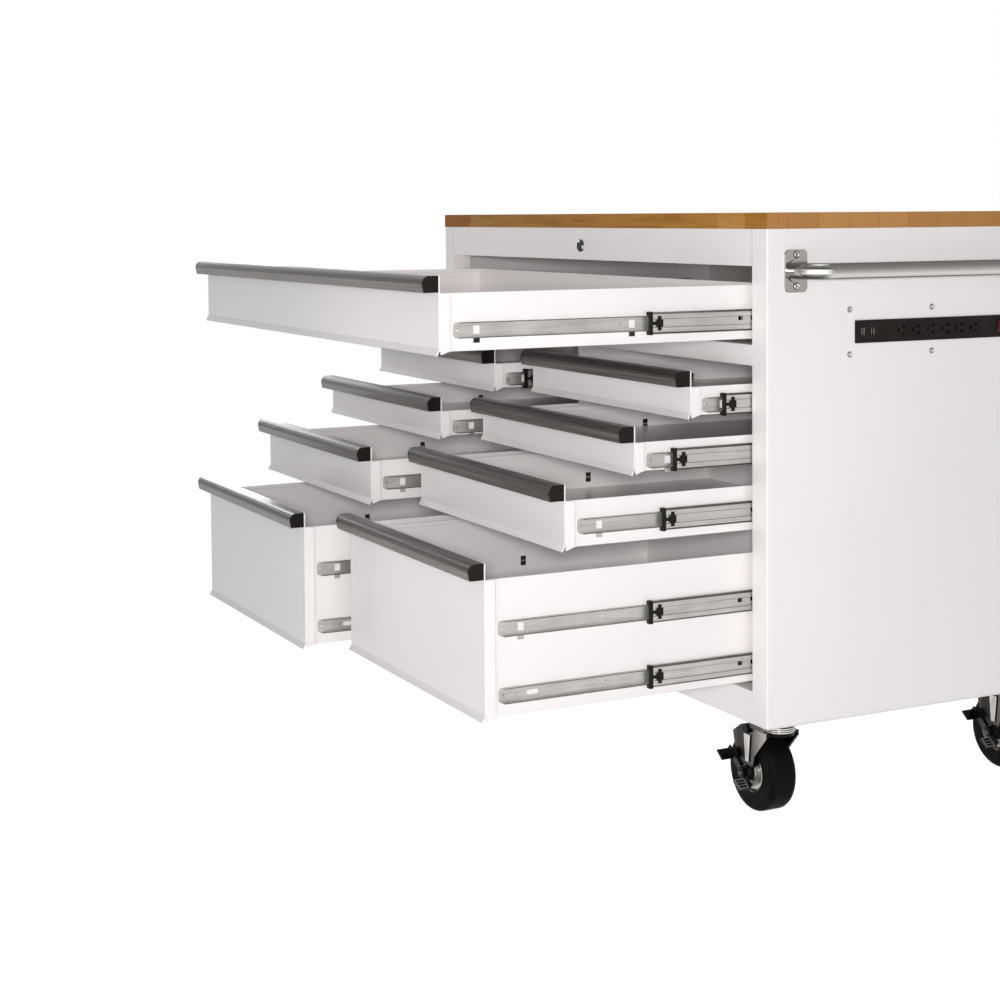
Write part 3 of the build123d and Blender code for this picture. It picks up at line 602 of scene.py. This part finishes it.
# Screws in the side: push bar plates and power strip
bar_screw_heights = (0.7291, 0.6809)            # above the cabinet's bottom, as those of the strip
strip_screw_heights = (0.642, 0.5718)
strip_screw_places = (0.155, 0.316, 0.477)      # behind the cabinet's front
bar_screws = Piece("push_bar_screws", "cabinet", "bar_chrome", screw_steel, cut_shade)
for y in (front_y + bar_inset, back_y - bar_inset):
    for z in bar_screw_heights:
        spot = placed((half_width + flange_thickness, y, cabinet_bottom + z), rightward)
        bar_screws.ringed_screw(spot, radius=0.0052, height=0.0028, ring=(0.0062, 0.0040), segments=28)
bar_screws.done()
strip_screws = Piece("strip_screws", "cabinet", "bar_chrome", screw_steel, cut_shade)
for y in strip_screw_places:
    for z in strip_screw_heights:
        spot = placed((half_width, front_y + y, cabinet_bottom + z), rightward)
        strip_screws.ringed_screw(spot, radius=0.0038, height=0.0024, ring=(0.0048, 0.0030), segments=24)
strip_screws.done()

# Outlets, each with two blade slots and an earth hole, their hollows painted shade in near black
outlet_count, outlet_start, outlet_pitch = 6, 0.0895, 0.0291
outlet_size, outlet_thickness, outlet_depth = 0.0226, 0.0007, 0.0006
outlet_slots = [
    (0.0005, 0.0072, 0.0034, 0.0074), (0.0005, 0.0068, -0.0074, -0.0034),
    (-0.0088, -0.0048, -0.0038, 0.0038),
]
low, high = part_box("power_strip")
strip_z = (low.z + high.z) / 2
outlets = Piece("outlet_faces", "cabinet", "strip_plastic", strip_black, dark_hollow)
for i in range(outlet_count):
    spot = placed((high.x - outlet_recess, low.y + outlet_start + outlet_pitch * i, strip_z), rightward)
    outlets.pocketed(spot, outlet_size, outlet_size, outlet_thickness, outlet_slots, outlet_depth)
outlets.done()

# Tongue and two shell walls in each charging port
port_count, port_start, port_pitch, port_depth = 2, 0.0138, 0.019, 0.005
tongue_aside, tongue_size = -0.0008, (0.0018, 0.0108, 0.0036)
shell_aside, shell_out, shell_size = 0.0027, 0.0022, (0.0003, 0.0118, 0.0023)
ports = Piece("charging_port_tongues", "cabinet", "strip_plastic", slide_zinc, black_plastic)
for i in range(port_count):
    base = placed((high.x - port_depth, low.y + port_start + port_pitch * i, strip_z), rightward)
    ports.slab(base @ Matrix.Translation((tongue_aside, 0, 0)), tongue_size, bevel=0.0003, material=1)
    for side in (-1, 1):
        wall = base @ Matrix.Translation((side * shell_aside, 0, shell_out))
        ports.slab(wall, shell_size, bevel=0.0001, segments=1)
ports.done()

# Bezel round the rocker switch
switch_inset = 0.012                            # from the strip's far end
upright_aside, upright_size = 0.0086, (0.0016, 0.0256, 0.0009)
crossbar_over, crossbar_size = 0.0121, (0.0188, 0.0014, 0.0009)
bezel = Piece("switch_bezel", "cabinet", "strip_plastic", strip_black)
switch_y = high.y - switch_inset
for side in (-1, 1):
    upright = placed((high.x, switch_y + side * upright_aside, strip_z), rightward)
    bezel.slab(upright, upright_size, bevel=0.0003)
    crossbar = placed((high.x, switch_y, strip_z + side * crossbar_over), rightward)
    bezel.slab(crossbar, crossbar_size, bevel=0.0003)
bezel.done()

# Runner screws and dimples, hook cut-outs in the tray walls with painted shade in their pockets, and thin
# dark sheets of painted shade on the tabs of the wide drawer
first_screw, wide_screws, deep_screws = 0.0308, (0.2015, 0.2978), (0.202,)     # behind the drawer's front
dimple_place = 0.052
dimple_profile = [(0.0026, 0.0), (0.0024, 0.0005), (0.0015, 0.0002), (0, 0.0001)]
cutout_places, cutout_drop = (0.0612, 0.3245), 0.010
cutout_plate, cutout_depth = (0.0104, 0.0172, 0.0006), 0.0005
cutout_pockets = [(-0.0048, 0.0048, -0.0082, -0.0010), (-0.0048, 0.0048, 0.0012, 0.0082)]
tab_thickness = 0.0004
for name in drawer_names:
    low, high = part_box(f"{name}_runners")
    drawer_front = low.y - slide_start
    heights = slide_heights(name, high.z - runner_height / 2)
    screw_places = [first_screw]
    if name == "drawer_top":
        screw_places += wide_screws
    if name in deep_drawers:
        screw_places += deep_screws
    faces = (
        (low.x + runner_reach - slide_sheet, leftward, low.x + runner_reach),
        (high.x - runner_reach + slide_sheet, rightward, high.x - runner_reach),
    )
    screws = Piece(f"{name}_runner_screws", name, "slide_steel", screw_steel)
    hooks = Piece(f"{name}_hook_slots", name, "slide_steel", slide_zinc, cut_shade)
    for face_x, out, tray_x in faces:
        for z in heights:
            for place in screw_places:
                screws.screw(placed((face_x, drawer_front + place, z), out), radius=0.0030, height=0.0013)
        for z in heights[1:]:
            dimple = placed((face_x, drawer_front + dimple_place, z), out)
            screws.turned(dimple, dimple_profile, 16)
        inner = tray_x - out[0] * tray_sheet
        for place in cutout_places:
            spot = placed((inner, drawer_front + place, heights[0] - cutout_drop), (-out[0], 0, 0))
            hooks.pocketed(spot, *cutout_plate, cutout_pockets, cutout_depth)
        if name == "drawer_top":
            for hook in (hook_start, second_hook):
                tab = placed((face_x, low.y + hook + hook_length / 2, low.z + hook_tab / 2), out)
                hooks.slab(tab, (hook_length, hook_tab, tab_thickness), bevel=0.0001, material=1)
    screws.done()
    hooks.done()

# Punched windows along the middle band of each carriage
band_drop, band_depth = 0.0174, carriage_recess + 0.0009
window_places = (0.163, 0.186, 0.372, 0.395)    # behind the carriage's front end
window_plate, window_depth = (0.0105, 0.0092, 0.0004), 0.0003
window_pockets = [(-0.0038, 0.0018, -0.0036, 0.0036), (0.0024, 0.0042, -0.0036, 0.0036)]
for name in drawer_names:
    low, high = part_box(f"{name}_carriages")
    windows = Piece(
        f"{name}_carriage_windows", f"{name}_slide_carriages", "slide_steel", slide_zinc, dark_hollow)
    for face_x, out in ((low.x + band_depth, leftward), (high.x - band_depth, rightward)):
        for z in slide_heights(name, high.z - band_drop):
            for place in window_places:
                spot = placed((face_x, low.y + place, z), out)
                windows.pocketed(spot, *window_plate, window_pockets, window_depth)
    windows.done()

# Hub rings and bolt ends of the wheels
hub_face = 0.0171                               # from a wheel's middle
hub_profile = [
    (0.0302, 0.0), (0.0302, 0.0016), (0.0284, 0.0036), (0.0256, 0.0040), (0.0236, 0.0022),
    (0.0214, 0.0018), (0.0206, 0.0),
]
bolt_end_profile = [(0.0048, 0.0), (0.0048, 0.0020), (0.0038, 0.0030), (0, 0.0032)]
for name in wheel_names:
    low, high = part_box(name)
    middle = (low + high) / 2
    rings = Piece(f"{name}_hub_rings", name, "caster_zinc", caster_zinc)
    for side in (-1, 1):
        spot = placed((middle.x, middle.y + side * hub_face, middle.z), (0, side, 0))
        rings.turned(spot, hub_profile, 48)
    rings.done()
    rigid = "left" in name
    body = "cabinet" if rigid else "swivel_caster_" + name.split("_")[2]
    ends = Piece(f"{name}_bolt_ends", body, "caster_zinc", bolt_dark)
    for side in (-1, 1):
        far = fork_reach + nut_height + (0 if rigid or side > 0 else lever_stack)
        spot = placed((middle.x, middle.y + side * far, middle.z), (0, side, 0))
        ends.turned(spot, bolt_end_profile, 20)
    ends.done()

# Ridged foot pads of the brake levers: place along the lever, and the material of the pad's ridges
pad_starts = ((-0.0455, 1), (0.0145, 0))
pad_aside, pad_drop = 0.0097, 0.0095
pad_plate, pad_depth = (0.0186, 0.0180, 0.0007), 0.0006
pad_grooves = [
    (-0.0074, 0.0074, -0.0074, -0.0034), (-0.0074, 0.0074, -0.0020, 0.0020),
    (-0.0074, 0.0074, 0.0034, 0.0074),
]
lever_along = Vector((math.cos(lever_angle), 0, -math.sin(lever_angle)))
lever_above = Vector((math.sin(lever_angle), 0, math.cos(lever_angle)))
for end, wheel_y in (("front", front_y + caster_inset[1]), ("rear", back_y - caster_inset[1])):
    pads = Piece(f"brake_pads_{end}", f"brake_lever_{end}", "pedal_steel", lever_edge, lever_black)
    pivot = Vector((swivel_axle_x, wheel_y - fork_reach - lever_stack - pad_aside, axle_z))
    for start, ridge_material in pad_starts:
        spot = placed(pivot + lever_along * start - lever_above * pad_drop, lever_above, lever_along)
        pads.pocketed(spot, *pad_plate, pad_grooves, pad_depth, ridge_material)
    pads.done()

# Bolts that hold the casters, each a washer and a hexagon head
washer_profile = [(0.0070, 0.0), (0.0070, 0.0004), (0.0058, 0.0006)]
head_profile = [(0.0056, 0.0006), (0.0056, 0.0012), (0.0046, 0.0015), (0, 0.0015)]
bolt_z = cabinet_bottom - caster_plate
bolts = Piece("caster_bolts", "cabinet", "caster_zinc", screw_steel)
for x in (-half_width + caster_inset[0], half_width - caster_inset[0]):
    for y in (front_y + caster_inset[1], back_y - caster_inset[1]):
        for i, j in ((-1, -1), (-1, 1), (1, -1), (1, 1)):
            corner = (x + i * bolt_spacing[0] / 2, y + j * bolt_spacing[1] / 2, bolt_z)
            spot = placed(corner, downward, backward)
            bolts.turned(spot, washer_profile, 20)
            bolts.turned(spot, head_profile, 6)
bolts.done()

# Beaded rings of the swivel bearings
bead_count, race_play, race_segments = 3, 0.0006, 56
core, crest, inner = race_radius + 0.0003, race_radius + 0.0013, race_radius - 0.0006
bead_height = (race_low - crown_top - 2 * race_play) / bead_count
bottom, top = race_play, race_play + bead_count * bead_height
for end, side in (("front", -1), ("rear", 1)):
    beads = Piece(f"race_rings_{end}", f"swivel_caster_{end}", "caster_zinc", race_steel, cut_shade)
    kingpin = (half_width - caster_inset[0], side * (back_y - caster_inset[1]), crown_top)
    spot = placed(kingpin, upward, backward)
    beads.turned(spot, [(core, top), (inner, top), (inner, bottom), (core, bottom)], race_segments, 1)
    for i in range(bead_count):
        base = bottom + i * bead_height
        crest_low, crest_high, groove = (base + share * bead_height for share in (0.15, 0.6, 0.75))
        bead_profile = [(core, base), (crest, crest_low), (crest, crest_high), (core, groove)]
        beads.turned(spot, bead_profile, race_segments)
        beads.turned(spot, [(core, groove), (core, base + bead_height)], race_segments, 1)
    beads.done()

# Screws round the rim of the back panel
back_rows = (0.03, 0.27, 0.51, 0.745)           # above the cabinet's bottom
back_columns = (-0.533, -0.355, -0.178, 0.0, 0.178, 0.355, 0.533)
back_screws = Piece("back_panel_screws", "cabinet", "bar_chrome", screw_steel)
for z in back_rows:
    for x in back_columns:
        if z in (back_rows[0], back_rows[-1]) or x in (back_columns[0], back_columns[-1]):
            spot = placed((x, back_y, cabinet_bottom + z), backward)
            back_screws.screw(spot, radius=0.0042, height=0.0024)
back_screws.done()


# Stage: camera, light, floor and background


def camera(place, turns, lens, shift):
    """Camera of the photograph; its turns are yaw, pitch and roll in degrees."""
    yaw, pitch, roll = (math.radians(turn) for turn in turns)
    forward = Vector((-math.sin(yaw) * math.cos(pitch), math.cos(yaw) * math.cos(pitch), math.sin(pitch)))
    level = Vector((math.cos(yaw), math.sin(yaw), 0))
    above = level.cross(forward)
    side = level * math.cos(roll) + above * math.sin(roll)
    top = above * math.cos(roll) - level * math.sin(roll)
    data = bpy.data.cameras.new("camera")
    data.lens, data.sensor_width, data.shift_y = lens, 36.0, shift
    made = bpy.data.objects.new("camera", data)
    made.matrix_world = Matrix((
        (side.x, top.x, -forward.x, place[0]), (side.y, top.y, -forward.y, place[1]),
        (side.z, top.z, -forward.z, place[2]), (0, 0, 0, 1),
    ))
    bpy.context.scene.collection.objects.link(made)
    bpy.context.scene.camera = made


def area_light(name, place, target, size, power, spread=180, mirrored=True):
    """Square lamp that the camera doesn't see; spread narrows its beam, in degrees."""
    data = bpy.data.lights.new(name, "AREA")
    data.size, data.energy, data.spread = size, power, math.radians(spread)
    made = bpy.data.objects.new(name, data)
    made.location = place
    made.visible_camera, made.visible_glossy = False, mirrored
    made.rotation_euler = (Vector(target) - Vector(place)).to_track_quat("-Z", "Y").to_euler()
    bpy.context.scene.collection.objects.link(made)


def seen_directly(tree):
    """1 for rays from the camera and for those that metal and glass send on."""
    path = tree.nodes.new("ShaderNodeLightPath").outputs
    total = path["Is Camera Ray"]
    for other in ("Is Glossy Ray", "Is Transmission Ray"):
        larger = tree.nodes.new("ShaderNodeMath")
        larger.operation = "MAXIMUM"
        tree.links.new(total, larger.inputs[0])
        tree.links.new(path[other], larger.inputs[1])
        total = larger.outputs[0]
    return total


def surroundings(ambient):
    """White background, and a dimmer light from all round on what doesn't shine."""
    world = bpy.data.worlds.new("studio")
    bpy.context.scene.world = world
    world.use_nodes = True
    tree = world.node_tree
    light = tree.nodes["Background"]
    light.inputs["Color"].default_value = (0.98, 0.99, 1.0, 1)
    light.inputs["Strength"].default_value = ambient
    backdrop = tree.nodes.new("ShaderNodeBackground")
    backdrop.inputs["Color"].default_value = (1, 1, 1, 1)
    mixed = tree.nodes.new("ShaderNodeMixShader")
    tree.links.new(seen_directly(tree), mixed.inputs[0])
    tree.links.new(light.outputs[0], mixed.inputs[1])
    tree.links.new(backdrop.outputs[0], mixed.inputs[2])
    tree.links.new(mixed.outputs[0], tree.nodes["World Output"].inputs["Surface"])


def floor(size, glow, albedo):
    """Pale floor that glows to white where the camera sees it, and still takes the object's shadow."""
    data = bpy.data.meshes.new("floor")
    z = -0.0004                     # just under the wheels
    corners = [(-size, -size, z), (size, -size, z), (size, size, z), (-size, size, z)]
    data.from_pydata(corners, [], [(0, 1, 2, 3)])
    made = bpy.data.objects.new("floor", data)
    bpy.context.scene.collection.objects.link(made)
    material = bpy.data.materials.new("floor")
    material.use_nodes = True
    tree = material.node_tree
    tree.nodes.remove(tree.nodes["Principled BSDF"])
    bounce = tree.nodes.new("ShaderNodeBsdfDiffuse")
    bounce.inputs["Color"].default_value = (0.8, 0.8, 0.8, 1)
    shade = tree.nodes.new("ShaderNodeBsdfDiffuse")
    shade.inputs["Color"].default_value = (albedo, albedo, albedo, 1)
    light = tree.nodes.new("ShaderNodeEmission")
    light.inputs["Strength"].default_value = glow
    both = tree.nodes.new("ShaderNodeAddShader")
    mixed = tree.nodes.new("ShaderNodeMixShader")
    tree.links.new(shade.outputs[0], both.inputs[0])
    tree.links.new(light.outputs[0], both.inputs[1])
    tree.links.new(seen_directly(tree), mixed.inputs[0])
    tree.links.new(bounce.outputs[0], mixed.inputs[1])
    tree.links.new(both.outputs[0], mixed.inputs[2])
    tree.links.new(mixed.outputs[0], tree.nodes["Material Output"].inputs["Surface"])
    data.materials.append(material)


camera((2.92854, -1.92425, 0.95197), turns=(63.655, -2.631, -0.406), lens=66.88, shift=-0.2)
surroundings(ambient=0.25)
area_light("key", (3.0, -2.9, 1.0), (0.1, -0.4, 0.5), size=1.8, power=9)
area_light("low", (1.8, -3.6, 0.4), (0.2, -0.5, 0.45), size=1.2, power=9)
area_light("front", (2.95, -1.94, 0.99), (0.1, -0.3, 0.5), size=0.2, power=50)
area_light("middle", (0.3, -3.8, 0.5), (0.3, -0.5, 0.53), size=0.3, power=0.1, spread=16, mirrored=False)
area_light("back", (0.5, 3.6, 0.9), (0.0, 0.3, 0.5), size=1.2, power=5.5, spread=60)
area_light("left", (-3.6, -0.2, 0.9), (-0.58, -0.2, 0.5), size=1.2, power=5.5, spread=60)
area_light("over", (0.0, 0.3, 3.2), (0.0, 0.1, 0.9), size=1.2, power=4, spread=80)
floor(size=40, glow=0.878, albedo=0.5)
bpy.context.scene.view_settings.view_transform = "Standard"
